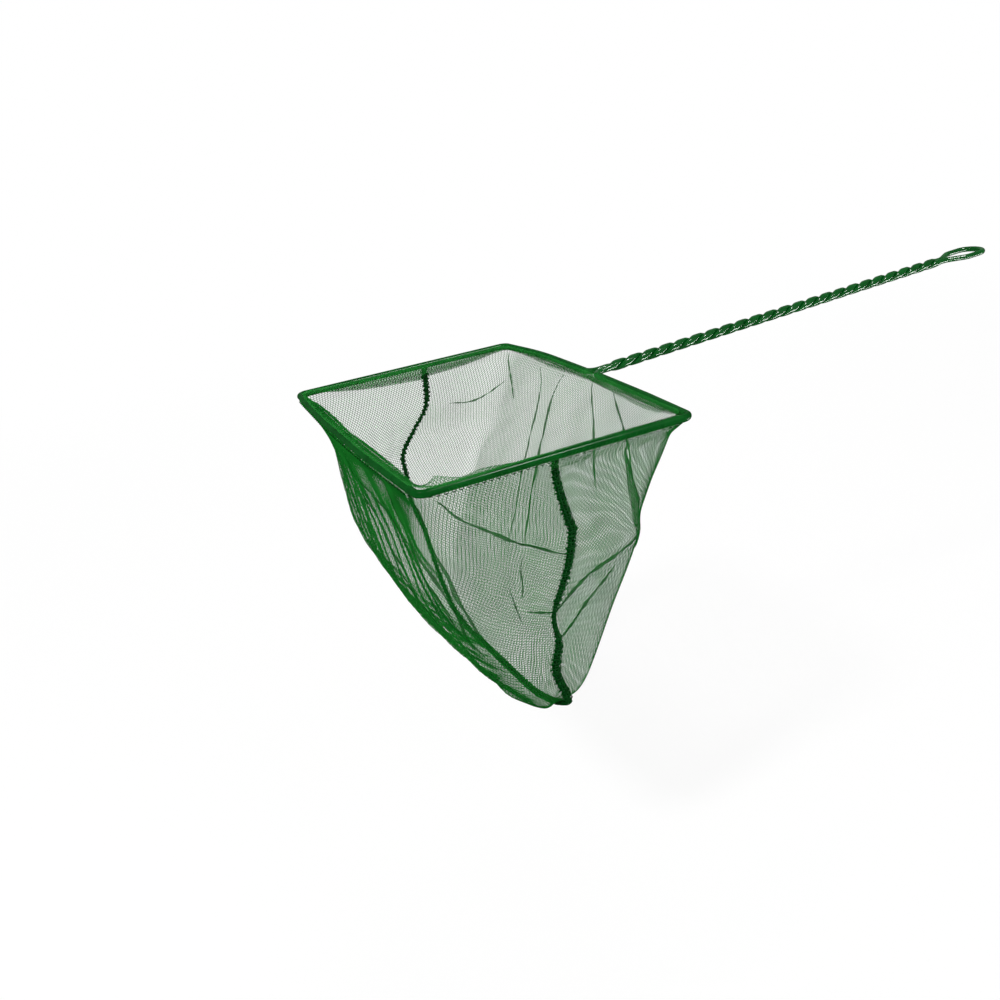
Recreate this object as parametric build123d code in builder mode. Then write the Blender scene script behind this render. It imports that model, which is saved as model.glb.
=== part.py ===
"""Aquarium fish net: a coated wire hoop with a twisted handle and a sewn mesh bag.

Millimetres. The origin is on the handle's axis where the hand holds it, +Y runs along the handle
away from the hoop, and +Z is up, out of the mouth of the bag. The hoop lies level.
"""

import math
import os

from build123d import *

os.makedirs("parts", exist_ok=True)

# Hoop, measured along the middle of the wire
HOOP_WIDTH = 150.0
HOOP_LENGTH = 102.0
CORNER_RADIUS = 3.5
FRONT_BOW = 2.0
FRONT_STRAIGHT = 48.0
REAR_BOW = 4.0
REAR_LEFT_BOW = 4.5
REAR_RIGHT_BOW = 2.2
REAR_BOW_PLACE = 30.0
SLACK_BEND_RADIUS = 150.0

# Wire: a steel core inside an extruded plastic coating
WIRE_DIAMETER = 2.5
CORE_DIAMETER = 1.6
CORE_CLEARANCE = 0.1
SLEEVE_LENGTH = 14.0
CORE_END_GAP = 0.4

# Handle: both legs of the wire twisted together, left-handed, with an eye at the far end
HANDLE_RISE = 3.0
GRIP_DISTANCE = 165.0
ROOT_LENGTH = 6.5
ROOT_RADIUS = 4.5
STRAND_CLEARANCE = 0.06
TWIST_PITCH = 16.0
TWIST_HALF_TURNS = 23
TWIST_RAMP = 5.0
STEPS_PER_TURN = 6
EYE_WIDTH = 10.0
EYE_LENGTH = 27.0
EYE_NECK = 3.0
EYE_SHOULDER = 9.0
EYE_NECK_RADIUS = 7.0

# Bag: a front and a rear mesh panel, overlocked together round the sides and the bottom
BAG_DEPTH = 111.0
BAG_SWING = 10.0
PANEL_THICKNESS = 0.7
SEAM_WIDTH = 3.0
SEAM_PROUD = 0.4
SEAM_PLACE = 2.75
SEAM_CORNER_DEPTH = 96.0

# Hem: the panel's top edge folded over the wire and sewn down below it
HEM_DROP = 9.0
HEM_CLEARANCE = 0.1
HEM_WALL = 0.4
HEM_WRAP = 9.0
HEM_ROOT_GAP = 8.0

# The bag's cross-sections from the hem down: share of the way to the bottom, how far the left and right
# walls and the front left, front right, rear left and rear right corners have come in, and the radius
# of the rounded corners
BAG_SECTIONS = (
    (0.0, 0.0, 0.0, 0.0, 0.0, 0.0, 0.0, CORNER_RADIUS),
    (0.32, 4.3, 3.4, 9.0, 7.0, 22.0, 20.5, 12.0),
    (0.65, 11.3, 7.2, 18.0, 16.5, 41.0, 36.0, 9.0),
    (0.85, 21.0, 11.5, 29.0, 28.0, 51.0, 47.0, 6.0),
    (0.94, 28.5, 18.0, 36.0, 35.5, 53.5, 52.5, 3.0),
    (1.0, 38.0, 32.0, 41.0, 41.0, 55.5, 55.5, 1.2),
)

# Places worked out from the sizes
rise = math.radians(HANDLE_RISE)
root_y = -GRIP_DISTANCE * math.cos(rise)
hoop_z = -GRIP_DISTANCE * math.sin(rise)
rear_y = root_y - REAR_BOW
front_y = rear_y - HOOP_LENGTH
middle_y = (front_y + rear_y) / 2
seam_y = middle_y + SEAM_PLACE
half_width = HOOP_WIDTH / 2
strand_offset = (WIRE_DIAMETER + STRAND_CLEARANCE) / 2
coating_bore = CORE_DIAMETER + 2 * CORE_CLEARANCE
hem_bore = WIRE_DIAMETER + 2 * HEM_CLEARANCE
hem_outer = hem_bore + 2 * HEM_WALL
twist_length = TWIST_RAMP + TWIST_HALF_TURNS * TWIST_PITCH / 2
eye_half = (EYE_WIDTH + WIRE_DIAMETER) / 2
PARALLEL = 1e-9
SIDES = (("left", -1), ("right", 1))


def handle_point(along, across=0.0, above=0.0):
    """A point given along, across and above the handle's axis, from the handle's root."""
    y = root_y + along * math.cos(rise) - above * math.sin(rise)
    z = hoop_z + along * math.sin(rise) + above * math.cos(rise)
    return Vector(across, y, z)


def twist_angle(along):
    """Turn of the strands at a distance along the twist; it starts and stops gently."""
    rate = 2 * math.pi / TWIST_PITCH
    if along < TWIST_RAMP:
        return rate * along**2 / (2 * TWIST_RAMP)
    left_over = twist_length - along
    if left_over < TWIST_RAMP:
        return TWIST_HALF_TURNS * math.pi - rate * left_over**2 / (2 * TWIST_RAMP)
    return rate * (along - TWIST_RAMP / 2)


def twist_rate(along):
    """Turn of the strands per millimetre along the twist."""
    ramp = min(along, twist_length - along, TWIST_RAMP) / TWIST_RAMP
    return 2 * math.pi / TWIST_PITCH * ramp


def biarc_joint(start, start_way, end, end_way):
    """The point where two arcs meet that leave start and reach end along the given ways."""
    chord = end - start
    ways = start_way + end_way
    bend = 2 * (1 - start_way.dot(end_way))
    along = chord.dot(ways)
    if bend < PARALLEL:
        reach = chord.dot(chord) / (4 * chord.dot(end_way))
    else:
        reach = (math.sqrt(along**2 + bend * chord.dot(chord)) - along) / bend
    return (start + end) * 0.5 + (start_way - end_way) * (reach / 2)


def front_points(side, start):
    """The front rail from the middle to its corner, on one side."""
    return [
        (side * start, front_y - FRONT_BOW, hoop_z),
        (side * FRONT_STRAIGHT / 2, front_y - FRONT_BOW, hoop_z),
        (side * half_width, front_y, hoop_z),
    ]


def rear_points(side):
    """The rear rail from its corner to the handle's root, on one side."""
    bow = REAR_LEFT_BOW if side < 0 else REAR_RIGHT_BOW
    return [
        (side * half_width, rear_y, hoop_z),
        (side * (half_width - REAR_BOW_PLACE), rear_y + bow, hoop_z),
        (side * strand_offset, root_y, hoop_z),
    ]


def hoop_route(side, start):
    """One leg of the wire: half the front rail, a side rail, half the rear rail and the root."""
    points = front_points(side, start) + rear_points(side)
    points.append(tuple(handle_point(ROOT_LENGTH, side * strand_offset)))
    radii = [SLACK_BEND_RADIUS, CORNER_RADIUS, CORNER_RADIUS, SLACK_BEND_RADIUS, ROOT_RADIUS]
    with BuildLine() as route:
        FilletPolyline(*points, radius=radii)
    return route.wire()


def strand_route(side):
    """One strand of the twist, as a chain of tangent arcs along its helix."""
    steps = round(twist_length / TWIST_PITCH * STEPS_PER_TURN)
    points = []
    ways = []
    for step in range(steps + 1):
        along = twist_length * step / steps
        angle = twist_angle(along)
        radius = side * strand_offset
        sweep_rate = twist_rate(along) * radius
        points.append(
            handle_point(ROOT_LENGTH + along, radius * math.cos(angle), radius * math.sin(angle))
        )
        way = handle_point(1, -sweep_rate * math.sin(angle), sweep_rate * math.cos(angle))
        ways.append((way - handle_point(0)).normalized())
    with BuildLine() as route:
        for step in range(steps):
            start, end = points[step], points[step + 1]
            joint = biarc_joint(start, ways[step], end, ways[step + 1])
            first = TangentArc(start, joint, tangent=ways[step])
            TangentArc(joint, end, tangent=first % 1)
    return route.wire()


def eye_route():
    """The bend of the wire that closes the far end of the handle into an eye to hang it by."""
    start = ROOT_LENGTH + twist_length
    neck = start + EYE_NECK
    shoulder = neck + EYE_SHOULDER
    tip = start + EYE_LENGTH - WIRE_DIAMETER / 2
    corners = [(start, strand_offset), (neck, strand_offset), (shoulder, eye_half), (tip, eye_half)]
    points = [handle_point(along, -across) for along, across in corners]
    points += [handle_point(along, across) for along, across in reversed(corners)]
    shoulders = [EYE_NECK_RADIUS, EYE_NECK_RADIUS]
    ends = [eye_half - CORE_CLEARANCE, eye_half - CORE_CLEARANCE]
    with BuildLine() as route:
        FilletPolyline(*points, radius=shoulders + ends + shoulders)
    return route.wire()


def ring(route, outside, bore):
    """The round section of a tube, square to the start of its route."""
    with BuildSketch(Plane(origin=route @ 0, z_dir=route % 0)) as section:
        Circle(outside / 2)
        if bore:
            Circle(bore / 2, mode=Mode.SUBTRACT)
    return section.sketch


def hem_profile(route, outside, tail, drop):
    """A casing round the wire with its sewn-down tail, as a section square to its route."""
    way = route % 0
    with BuildSketch(Plane(origin=route @ 0, x_dir=Vector(0, 0, 1).cross(way), z_dir=way)) as section:
        Circle(outside / 2)
        with Locations((0, -drop / 2)):
            Rectangle(tail, drop)
        Circle(hem_bore / 2, mode=Mode.SUBTRACT)
    return section.sketch


def towards(start, end, distance):
    """The point that far from start on the way to end."""
    way = (Vector(end) - Vector(start)).normalized()
    return Vector(start) + way * distance


def bag_section(section, grow, lift):
    """One cross-section of the bag, grown outwards by grow and moved up by lift."""
    share, left_in, right_in, front_left_in, front_right_in, rear_left_in, rear_right_in, corner = section
    depth = HEM_DROP + share * (BAG_DEPTH - HEM_DROP)
    left = left_in - half_width - grow
    right = half_width - right_in + grow
    front_left = front_y + front_left_in - grow
    front_right = front_y + front_right_in - grow
    rear_left = rear_y - rear_left_in + grow
    rear_right = rear_y - rear_right_in + grow
    middle = (left + right) / 2
    front_middle = (front_left + front_right) / 2 - FRONT_BOW
    rear_middle = (rear_left + rear_right) / 2 + REAR_BOW
    with BuildSketch(Plane.XY.offset(hoop_z - depth + lift)) as outline:
        with BuildLine():
            ThreePointArc((left, front_left), (middle, front_middle), (right, front_right))
            Line((right, front_right), (right, rear_right))
            ThreePointArc((right, rear_right), (middle, rear_middle), (left, rear_left))
            Line((left, rear_left), (left, front_left))
        make_face()
        fillet(outline.vertices(), radius=corner)
    return outline.sketch


def bag_shape(grow, lift=0.0):
    """The sections of the bag from the hem to the bottom."""
    return [bag_section(section, grow, lift) for section in BAG_SECTIONS]


def write(piece, name):
    """Labels a finished piece and writes it under its own name."""
    piece.label = name
    export_step(piece, f"parts/{name}.step")


# Both legs of the wire round the hoop and through the twist, each a core in its coating
for side_name, side in SIDES:
    core_path = hoop_route(side, CORE_END_GAP / 2)
    coating_path = hoop_route(side, SLEEVE_LENGTH / 2)
    strand_path = strand_route(side)
    with BuildPart() as hoop_core:
        sweep(sections=ring(core_path, CORE_DIAMETER, 0), path=core_path)
    with BuildPart() as hoop_coating:
        sweep(sections=ring(coating_path, WIRE_DIAMETER, coating_bore), path=coating_path)
    with BuildPart() as strand_core:
        sweep(sections=ring(strand_path, CORE_DIAMETER, 0), path=strand_path)
    with BuildPart() as strand_coating:
        sweep(sections=ring(strand_path, WIRE_DIAMETER, coating_bore), path=strand_path)
    write(hoop_core.part, f"{side_name}_hoop_core")
    write(hoop_coating.part, f"{side_name}_hoop_coating")
    write(strand_core.part, f"{side_name}_strand_core")
    write(strand_coating.part, f"{side_name}_strand_coating")
    core_area = math.pi * CORE_DIAMETER**2 / 4
    print(side_name, "strand core", strand_core.part.volume, "expected", core_area * strand_path.length)
    print(side_name, "hoop core", hoop_core.part.volume, "expected", core_area * core_path.length)

# Eye at the far end of the handle
eye_path = eye_route()
with BuildPart() as eye_core:
    sweep(sections=ring(eye_path, CORE_DIAMETER, 0), path=eye_path)
write(eye_core.part, "eye_core")

with BuildPart() as eye_coating:
    sweep(sections=ring(eye_path, WIRE_DIAMETER, coating_bore), path=eye_path)
write(eye_coating.part, "eye_coating")

# Sleeve crimped over the butted ends of the core, flush with the coating, inside the front hem
with BuildPart() as splice_sleeve:
    with BuildSketch(Plane((-SLEEVE_LENGTH / 2, front_y - FRONT_BOW, hoop_z), z_dir=(1, 0, 0))):
        Circle(WIRE_DIAMETER / 2)
        Circle(coating_bore / 2, mode=Mode.SUBTRACT)
    extrude(amount=SLEEVE_LENGTH)
write(splice_sleeve.part, "splice_sleeve")

# Hem casing of the front rail, in one length round both front corners
left_bend, left_corner = front_points(-1, 0)[1:]
right_bend, right_corner = front_points(1, 0)[1:]
with BuildLine() as front_hem_line:
    FilletPolyline(
        towards(left_corner, rear_points(-1)[0], HEM_WRAP),
        left_corner,
        left_bend,
        right_bend,
        right_corner,
        towards(right_corner, rear_points(1)[0], HEM_WRAP),
        radius=[CORNER_RADIUS, SLACK_BEND_RADIUS, SLACK_BEND_RADIUS, CORNER_RADIUS],
    )
front_hem_path = front_hem_line.wire()
with BuildPart() as front_hem:
    sweep(
        sections=hem_profile(front_hem_path, hem_outer, PANEL_THICKNESS, HEM_DROP),
        path=front_hem_path,
    )
write(front_hem.part, "front_hem")

# Hem casings of the rear rail, one each side of the handle, each round its corner
for side_name, side in SIDES:
    corner, bend, root = rear_points(side)
    with BuildLine() as rear_hem_line:
        FilletPolyline(
            towards(corner, front_points(side, 0)[2], HEM_WRAP),
            corner,
            bend,
            towards(root, bend, HEM_ROOT_GAP),
            radius=[CORNER_RADIUS, SLACK_BEND_RADIUS],
        )
    rear_hem_path = rear_hem_line.wire()
    with BuildPart() as rear_hem:
        sweep(
            sections=hem_profile(rear_hem_path, hem_outer, PANEL_THICKNESS, HEM_DROP),
            path=rear_hem_path,
        )
    write(rear_hem.part, f"rear_{side_name}_hem")

# Hem casings of the side rails, a front and a rear length each, parted by the side seam
for side_name, side in SIDES:
    side_x = side * half_width
    lengths = (
        ("front", front_y + HEM_WRAP, seam_y - SEAM_WIDTH / 2),
        ("rear", seam_y + SEAM_WIDTH / 2, rear_y - HEM_WRAP),
    )
    for place, start_y, end_y in lengths:
        with BuildLine() as side_hem_line:
            Line((side_x, start_y, hoop_z), (side_x, end_y, hoop_z))
        with BuildPart() as side_hem:
            sweep(
                sections=hem_profile(side_hem_line.wire(), hem_outer, PANEL_THICKNESS, HEM_DROP),
                path=side_hem_line.wire(),
            )
        write(side_hem.part, f"{side_name}_{place}_hem")

# Plane of the seam: square to the side rails at the top, swung forward at the bottom
seam_lean = math.degrees(math.atan2(BAG_SWING, BAG_DEPTH))
seam_plane = Plane((0, seam_y, hoop_z - HEM_DROP)).rotated((-90 - seam_lean, 0, 0))
seam_reach = 2 * (HOOP_WIDTH + BAG_DEPTH)
wall = PANEL_THICKNESS / 2

# Front and rear mesh panels, each a thin shell open at the mouth
for place, keep in (("front", Keep.BOTTOM), ("rear", Keep.TOP)):
    with BuildPart() as panel:
        loft(bag_shape(wall))
        loft(bag_shape(-wall, PANEL_THICKNESS), mode=Mode.SUBTRACT)
        with BuildSketch(seam_plane):
            Rectangle(seam_reach, seam_reach)
        extrude(amount=SEAM_WIDTH / 2, both=True, mode=Mode.SUBTRACT)
        split(bisect_by=seam_plane, keep=keep)
    write(panel.part, f"{place}_panel")

# Overlocked seam where the panels meet: a band that runs down one side, along the bottom and up
with BuildPart() as seam_loop:
    loft(bag_shape(wall + SEAM_PROUD, -SEAM_PROUD))
    loft(bag_shape(-wall - SEAM_PROUD, PANEL_THICKNESS + SEAM_PROUD), mode=Mode.SUBTRACT)
    with BuildSketch(seam_plane):
        Rectangle(seam_reach, seam_reach)
    extrude(amount=SEAM_WIDTH / 2, both=True, mode=Mode.INTERSECT)

seam_corner = Plane((0, middle_y, hoop_z - SEAM_CORNER_DEPTH))
with BuildPart() as bottom_seam:
    add(seam_loop.part)
    split(bisect_by=seam_corner, keep=Keep.BOTTOM)
write(bottom_seam.part, "bottom_seam")

# Side seams, each closed round the wire at the top
for side_name, side in SIDES:
    side_x = side * half_width
    with BuildLine() as seam_top_line:
        Line(
            (side_x, seam_y - SEAM_WIDTH / 2, hoop_z),
            (side_x, seam_y + SEAM_WIDTH / 2, hoop_z),
        )
    seam_top = hem_profile(
        seam_top_line.wire(),
        hem_outer + 2 * SEAM_PROUD,
        PANEL_THICKNESS + 2 * SEAM_PROUD,
        HEM_DROP + SEAM_PROUD + HEM_CLEARANCE,
    )
    with BuildPart() as side_seam:
        add(seam_loop.part)
        split(bisect_by=seam_corner, keep=Keep.TOP)
        split(bisect_by=Plane.YZ, keep=Keep.TOP if side > 0 else Keep.BOTTOM)
        sweep(sections=seam_top, path=seam_top_line.wire())
    write(side_seam.part, f"{side_name}_seam")
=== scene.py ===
"""Looks of an aquarium fish net: a coated wire hoop with a twisted handle and a sewn mesh bag."""
import math

import bpy
import numpy as np
from mathutils import Matrix, Vector


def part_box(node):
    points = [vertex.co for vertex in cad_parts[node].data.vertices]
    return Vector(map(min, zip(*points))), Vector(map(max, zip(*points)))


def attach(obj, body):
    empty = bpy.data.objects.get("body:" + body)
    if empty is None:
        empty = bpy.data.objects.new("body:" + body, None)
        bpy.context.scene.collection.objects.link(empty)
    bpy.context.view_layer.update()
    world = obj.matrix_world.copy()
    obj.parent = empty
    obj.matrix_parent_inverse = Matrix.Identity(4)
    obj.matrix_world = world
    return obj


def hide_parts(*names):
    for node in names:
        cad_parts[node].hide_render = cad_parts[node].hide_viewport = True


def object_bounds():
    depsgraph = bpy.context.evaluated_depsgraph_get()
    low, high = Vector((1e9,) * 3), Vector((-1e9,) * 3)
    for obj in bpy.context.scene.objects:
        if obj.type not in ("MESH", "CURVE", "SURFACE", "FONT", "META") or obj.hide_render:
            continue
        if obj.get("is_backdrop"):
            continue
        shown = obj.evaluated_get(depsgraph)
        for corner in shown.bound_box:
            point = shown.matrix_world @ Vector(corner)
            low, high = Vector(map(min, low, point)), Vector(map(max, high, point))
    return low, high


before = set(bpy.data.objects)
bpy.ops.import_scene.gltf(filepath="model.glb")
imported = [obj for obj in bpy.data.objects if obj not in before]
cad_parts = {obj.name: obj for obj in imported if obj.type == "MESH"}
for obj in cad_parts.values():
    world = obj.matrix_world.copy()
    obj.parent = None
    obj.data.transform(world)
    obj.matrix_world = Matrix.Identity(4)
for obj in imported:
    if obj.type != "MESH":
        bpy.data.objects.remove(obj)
cad_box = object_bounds()

# Viewpoint: a quarter of a metre outside the right rail and a hand's breadth above it, a little tilted.
# Places on the net are in millimetres from the middle of the hoop, which the wire's own box gives.
MM = 0.001
WIRE_RADIUS = 1.25
HOOP_WIDTH = 150.0
HOOP_LENGTH = 102.0
FRONT_BOW = 2.0
hoop_low = np.array(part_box("left_hoop_coating")[0]) / MM
hoop_y = hoop_low[1] + WIRE_RADIUS + FRONT_BOW + HOOP_LENGTH / 2
hoop_middle = np.array([0.0, hoop_y, hoop_low[2] + WIRE_RADIUS])

CAMERA_PLACE = (336.1, -131.1, 108.5)
CAMERA_AIM = (-5.4, 8.9, -45.7)
CAMERA_ROLL = 7.89
CAMERA_LENS = 34.2
CAMERA_SENSOR = 36.0


def in_frame(points):
    """Millimetres from the middle of the hoop, as metres in the part's frame."""
    return (np.asarray(points, float) + hoop_middle) * MM


def placed(name, data):
    """A new object with the given mesh, lamp or camera, put in the scene."""
    made = bpy.data.objects.new(name, data)
    bpy.context.collection.objects.link(made)
    return made


camera = placed("camera", bpy.data.cameras.new("camera"))
camera.data.lens = CAMERA_LENS
camera.data.sensor_width = CAMERA_SENSOR
camera_place = Vector(in_frame(CAMERA_PLACE))
looking = Vector(in_frame(CAMERA_AIM)) - camera_place
turn = looking.to_track_quat("-Z", "Y").to_matrix() @ Matrix.Rotation(math.radians(-CAMERA_ROLL), 3, "Z")
camera.matrix_world = Matrix.Translation(camera_place) @ turn.to_4x4()
bpy.context.scene.camera = camera


# Wire: drawn steel with a soft glossy green plastic extruded over it, bent cold into the hoop, its two
# legs laid round each other as the handle and the far end bent back into an eye to hang it by.
COATING_DARK = (0.0008, 0.07, 0.007, 1.0)
COATING_LIGHT = (0.0015, 0.115, 0.013, 1.0)
STEEL_DARK = (0.36, 0.36, 0.35, 1.0)
STEEL_LIGHT = (0.58, 0.58, 0.56, 1.0)
WIRE_RUNS = ("left_hoop", "right_hoop", "left_strand", "right_strand", "eye")
PATCH_DETAIL = 4.0
PATCH_SPAN = (0.3, 0.7)
GRAIN_DETAIL = 2.0


def node(tree, kind, sockets=None, **options):
    """Adds a node, sets its options and feeds its inputs with values or with other nodes' outputs."""
    made = tree.nodes.new(kind)
    for option, value in options.items():
        setattr(made, option, value)
    for place, value in (sockets or {}).items():
        if isinstance(value, bpy.types.NodeSocket):
            tree.links.new(value, made.inputs[place])
        else:
            made.inputs[place].default_value = value
    return made


def mottled(name, dark, light, patch, roughness, grain, relief, shine, metal=0.0, alpha=1.0):
    """A finish whose colour and roughness drift from patch to patch, with a fine grain in relief."""
    material = bpy.data.materials.new(name)
    material.use_nodes = True
    tree = material.node_tree
    surface = tree.nodes["Principled BSDF"]
    surface.inputs["Specular IOR Level"].default_value = 0.0
    surface.inputs["Coat Weight"].default_value = shine
    surface.inputs["Metallic"].default_value = metal
    surface.inputs["Alpha"].default_value = alpha
    spot = node(tree, "ShaderNodeTexCoord").outputs["Object"]
    patches = {"Vector": spot, "Scale": 1 / (patch * MM), "Detail": PATCH_DETAIL}
    drift = node(tree, "ShaderNodeTexNoise", patches).outputs["Fac"]
    shade = node(tree, "ShaderNodeValToRGB", {"Fac": drift})
    for stop, colour, place in zip(shade.color_ramp.elements, (dark, light), PATCH_SPAN):
        stop.color = colour
        stop.position = place
    tree.links.new(shade.outputs["Color"], surface.inputs["Base Color"])
    gloss_range = {"Value": drift, "To Min": roughness[0], "To Max": roughness[1]}
    gloss = node(tree, "ShaderNodeMapRange", gloss_range).outputs["Result"]
    tree.links.new(gloss, surface.inputs["Roughness"])
    tree.links.new(gloss, surface.inputs["Coat Roughness"])
    grains = {"Vector": spot, "Scale": 1 / (grain * MM), "Detail": GRAIN_DETAIL}
    height = node(tree, "ShaderNodeTexNoise", grains).outputs["Fac"]
    bump = node(tree, "ShaderNodeBump", {"Height": height, "Strength": relief, "Distance": grain * MM})
    tree.links.new(bump.outputs["Normal"], surface.inputs["Normal"])
    return material


def dress(node_name, finish):
    """Gives a CAD node its finish."""
    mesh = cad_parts[node_name].data
    mesh.materials.clear()
    mesh.materials.append(finish)


coating = mottled(
    "glossy_green_coating", COATING_DARK, COATING_LIGHT,
    patch=6.0, roughness=(0.1, 0.15), grain=0.9, relief=0.01, shine=0.15,
)
steel = mottled(
    "drawn_steel", STEEL_DARK, STEEL_LIGHT,
    patch=2.0, roughness=(0.28, 0.45), grain=0.3, relief=0.1, shine=0.0, metal=1.0,
)
for run in WIRE_RUNS:
    dress(f"{run}_coating", coating)
    dress(f"{run}_core", steel)


# Twist: where the two legs press on each other their soft coating is squeezed oval, so the grooves
# between the strands are shallow. Each strand turns left-handed round the handle's axis and is round
# again at both ends.
REAR_BOW = 4.0
HANDLE_RISE = math.radians(3.0)
ROOT_LENGTH = 6.5
TWIST_LENGTH = 189.0
TWIST_PITCH = 16.0
TWIST_RAMP = 5.0
TWIST_STEPS = 500
STRAND_OFFSET = 1.28
OVAL_OFFSET = 1.0
OVAL_RADIAL = 1.25
OVAL_ACROSS = 1.7
OVAL_RAMP = 4.0
STRAND_SIDES = 24
twist_run = np.linspace(0, TWIST_LENGTH, TWIST_STEPS)
from_end = np.minimum(twist_run, TWIST_LENGTH - twist_run)
turn_rate = 2 * math.pi / TWIST_PITCH * np.minimum(from_end / TWIST_RAMP, 1)
lay = np.concatenate([[0], np.cumsum((turn_rate[1:] + turn_rate[:-1]) / 2 * np.diff(twist_run))])
squeeze = np.clip(from_end / OVAL_RAMP, 0, 1)[:, None]
around = np.linspace(0, 2 * math.pi, STRAND_SIDES, endpoint=False)[None]
outward = STRAND_OFFSET + (OVAL_OFFSET - STRAND_OFFSET) * squeeze
outward = outward + (WIRE_RADIUS + (OVAL_RADIAL - WIRE_RADIUS) * squeeze) * np.cos(around)
sideways = (WIRE_RADIUS + (OVAL_ACROSS - WIRE_RADIUS) * squeeze) * np.sin(around)
axis_start = np.array([0.0, HOOP_LENGTH / 2 + REAR_BOW, 0.0])
axis_way = np.array([0.0, math.cos(HANDLE_RISE), math.sin(HANDLE_RISE)])
axis_up = np.array([0.0, -math.sin(HANDLE_RISE), math.cos(HANDLE_RISE)])
axis_across = np.array([1.0, 0.0, 0.0])
ring = np.arange(STRAND_SIDES)
beside = np.roll(ring, -1)
ring_faces = np.stack([ring, beside, beside + STRAND_SIDES, ring + STRAND_SIDES], axis=1)
strand_faces = (ring_faces[None] + STRAND_SIDES * np.arange(TWIST_STEPS - 1)[:, None, None]).reshape(-1, 4)
for name, side in (("left", -1), ("right", 1)):
    over = side * (outward * np.cos(lay)[:, None] - sideways * np.sin(lay)[:, None])
    above = side * (outward * np.sin(lay)[:, None] + sideways * np.cos(lay)[:, None])
    places = axis_start + (ROOT_LENGTH + twist_run)[:, None, None] * axis_way
    places = places + over[:, :, None] * axis_across + above[:, :, None] * axis_up
    strand_mesh = bpy.data.meshes.new(f"{name}_strand_squeezed")
    strand_mesh.from_pydata(in_frame(places.reshape(-1, 3)).tolist(), [], strand_faces.tolist())
    strand_mesh.shade_smooth()
    strand_mesh.materials.append(coating)
    strand_piece = placed(f"{name}_strand_squeezed", strand_mesh)
    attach(strand_piece, "root")
    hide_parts(f"{name}_strand_coating")


# Splice: a short sleeve of the same plastic, shrunk over the place where the ends of the steel meet in the
# middle of the front rail. It is level with the coating and the hem covers it.
SLEEVE_DARK = (0.001, 0.05, 0.006, 1.0)
SLEEVE_LIGHT = (0.0025, 0.085, 0.012, 1.0)
sleeve = mottled(
    "shrunk_green_sleeve", SLEEVE_DARK, SLEEVE_LIGHT,
    patch=3.0, roughness=(0.25, 0.35), grain=0.6, relief=0.15, shine=0.2,
)
dress("splice_sleeve", sleeve)


# Bag: a front and a rear panel of fine knitted nylon, cut flat and sewn together round the sides and the
# bottom. Each hangs from the hoop in soft creases below the corners, and its top edge goes over the wire.
LEFT_SEAM = (
    (-75, 8.5, 0), (-74, 8, -8), (-73.4, 6, -19), (-71.8, -1, -27), (-70.1, -10, -38),
    (-68.5, -10.5, -50), (-67.3, -11, -61), (-65, -8, -75), (-61, -7, -88), (-53, -7, -100),
)
BOTTOM_SEAM = (
    (-53, -7, -100), (-42, -7.2, -108), (-28, -7.5, -111), (-14.5, -7.5, -111), (6, -7.3, -110),
    (18, -7, -110), (36.5, -6.3, -110), (46.5, -5.8, -108.5), (57, -5.2, -105.5), (67, -4.6, -100.5),
)
RIGHT_SEAM = (
    (75, -3, 0), (74, -2.7, -9), (73.3, 0.4, -24), (72.8, 1.6, -30), (71.6, -1.4, -44),
    (69.9, -7.6, -60.5), (68.8, -6.5, -73), (67.7, -8.5, -85), (66.8, -4.8, -97), (67, -4.6, -100.5),
)
FRONT_LEFT_CREASE = (
    (-75, -51, 0), (-75, -47.5, -9), (-74.3, -43.5, -18), (-72.5, -41, -30),
    (-69, -40, -58), (-61, -32, -80), (-50, -19, -98), (-40, -7.2, -108.6),
)
FRONT_RIGHT_CREASE = (
    (75, -51, 0), (70, -48, -30), (66, -41, -58), (64, -31, -82), (64, -15.5, -102), (54, -5.5, -106.3),
)
REAR_LEFT_CREASE = (
    (-75, 51, 0), (-72.5, 38, -25), (-69, 24, -50), (-64, 10, -75), (-55, 0, -95), (-44, -7.2, -107),
)
REAR_RIGHT_CREASE = (
    (75, 51, 0), (73, 38.5, -25), (71.5, 26, -50), (70.5, 12.5, -76), (69.5, 2, -95), (65, -4, -103),
)
FRONT_LEFT_HEM_RADIUS = 8.0
FRONT_RIGHT_HEM_RADIUS = 9.0
REAR_LEFT_HEM_RADIUS = 8.0
REAR_RIGHT_HEM_RADIUS = 9.0
SLACK_BEND_RADIUS = 150.0
FRONT_STRAIGHT = 48.0
REAR_LEFT_BOW = 4.5
REAR_RIGHT_BOW = 2.2
REAR_BOW_PLACE = 30.0
BODY_ROWS = 112
FLAP_ROWS = 6
WRAP_ROWS = 7
COLUMNS = 211
WRAP_RADIUS = 1.35
FLAP_CURL = 4.0
CORNER_SHARE = 0.8
TOP_SHARE = 0.05
BOTTOM_PULL = 4
WIRE_HOLD = 9.0
SIDE_HOLD = 0.04
BOTTOM_HOLD = 8.0
# Slack in the cloth: how the gathers sway, and the waves with their size, lengths and start.
GATHER_SWAYS = ((3.0, 17.0), (2.0, 9.0))
GATHER_SPREAD = 30.0
GATHER_EDGE = 0.8
GATHER_RISE = 25.0
GATHER_FALL = 20.0
SNAKING_WAVE = (0.55, 9.0, 1.3, 21.0)
CROSSING_WAVES = ((0.45, 16.0, 11.0, 0.8), (0.30, 4.3, -7.7, 2.1), (0.18, 2.9, 3.7, 0.4))
FRONT_SLACK = 0.6
REAR_SLACK = 0.45
REAR_WAVE_SHIFT = 40.0
FLAT_UNIT = 300.0
FLAT_ORIGIN = (0.5, 0.2)
STRAIGHT = 0.001
LEAST_LENGTH = 1e-9
UP = np.array([0.0, 0.0, 1.0])
half_width = HOOP_WIDTH / 2
half_length = HOOP_LENGTH / 2


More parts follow.
